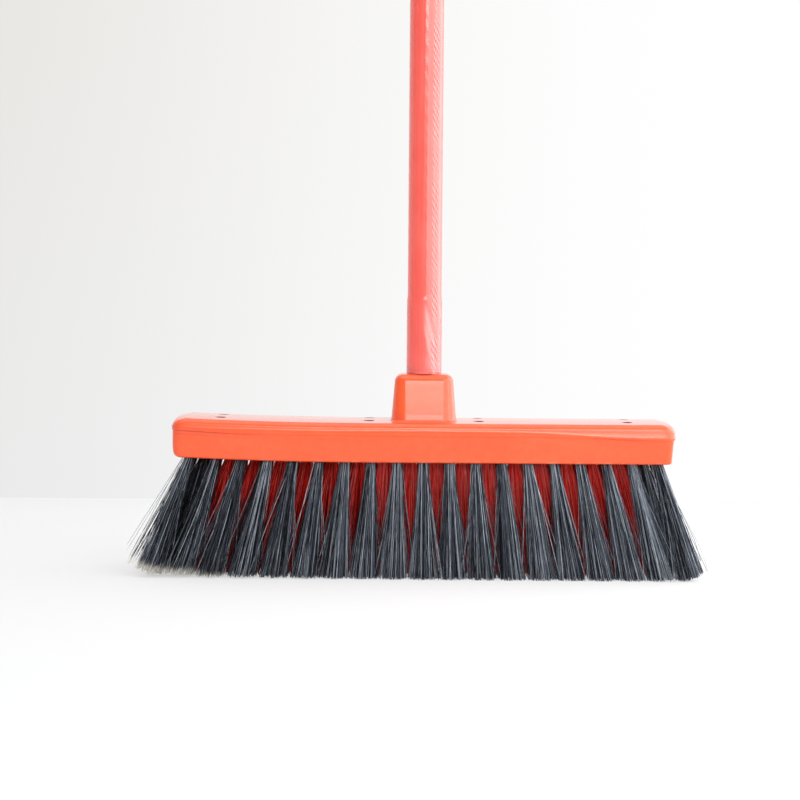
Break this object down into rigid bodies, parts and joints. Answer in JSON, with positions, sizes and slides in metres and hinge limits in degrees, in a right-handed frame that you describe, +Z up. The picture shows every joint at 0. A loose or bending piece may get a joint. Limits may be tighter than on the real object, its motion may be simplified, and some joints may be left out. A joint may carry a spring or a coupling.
{
  "type": "push broom",
  "caption": "Household push broom: moulded head with fanned grey and red bristle tufts and a film-covered wooden stick that screws into its socket.",
  "frame": {"origin": "on the floor under the middle of the head: centre of the box in X and Y, bottom of the bristles in Z", "axes": "+X along the head, +Y from its front to its back, +Z up the stick"},
  "size_m": [0.3594, 0.0798, 1.296],
  "materials": {
    "head_plastic": "satin",
    "stick_wood": "matte",
    "film_plastic": "gloss",
    "tip_plastic": "matte",
    "cap_plastic": "satin",
    "staple_wire": "satin",
    "grey_bristle": "matte",
    "red_bristle": "matte"
  },
  "bodies": {
    "head": {"head_block": "head_plastic", "staples_row_1": "staple_wire", "staples_row_2": "staple_wire", "staples_row_3": "staple_wire", "staples_row_4": "staple_wire", "front_tuft_1": "grey_bristle", "front_tuft_2": "grey_bristle", "front_tuft_3": "grey_bristle", "front_tuft_4": "grey_bristle", "front_tuft_5": "grey_bristle", "front_tuft_6": "grey_bristle", "front_tuft_7": "grey_bristle", "front_tuft_8": "grey_bristle", "front_tuft_9": "grey_bristle", "front_tuft_10": "grey_bristle", "front_tuft_11": "grey_bristle", "front_tuft_12": "grey_bristle", "front_tuft_13": "grey_bristle", "front_tuft_14": "grey_bristle", "front_tuft_15": "grey_bristle", "front_tuft_16": "grey_bristle", "front_tuft_17": "grey_bristle", "front_tuft_18": "grey_bristle", "front_tuft_19": "grey_bristle", "rear_tuft_1": "grey_bristle", "rear_tuft_2": "grey_bristle", "rear_tuft_3": "grey_bristle", "rear_tuft_4": "grey_bristle", "rear_tuft_5": "grey_bristle", "rear_tuft_6": "grey_bristle", "rear_tuft_7": "grey_bristle", "rear_tuft_8": "grey_bristle", "rear_tuft_9": "grey_bristle", "rear_tuft_10": "grey_bristle", "rear_tuft_11": "grey_bristle", "rear_tuft_12": "grey_bristle", "rear_tuft_13": "grey_bristle", "rear_tuft_14": "grey_bristle", "rear_tuft_15": "grey_bristle", "rear_tuft_16": "grey_bristle", "rear_tuft_17": "grey_bristle", "rear_tuft_18": "grey_bristle", "left_end_tufts": "grey_bristle", "right_end_tufts": "grey_bristle", "inner_tufts_1_1": "red_bristle", "inner_tufts_1_2": "red_bristle", "inner_tufts_1_3": "red_bristle", "inner_tufts_1_4": "red_bristle", "inner_tufts_2_1": "red_bristle", "inner_tufts_2_2": "red_bristle", "inner_tufts_2_3": "red_bristle", "inner_tufts_2_4": "red_bristle"},
    "stick_core": {"wooden_stick": "stick_wood"},
    "stick": {"plastic_film": "film_plastic", "screw_tip": "tip_plastic", "hanging_cap": "cap_plastic"}
  },
  "joints": [
    {"name": "stick_lift", "type": "slide", "parent": "head", "child": "stick_core", "axis": [0, 0, 1], "range_m": [0, 0.035]},
    {"name": "stick_turn", "type": "hinge", "parent": "stick_core", "child": "stick", "pos_m": [0, 0, 0.129], "axis": [0, 0, 1], "range_deg": [0, 2521]}
  ],
  "couplings": [
    {"joint": "stick_turn", "follows": "stick_lift", "rad_per_m": 1256.6}
  ]
}
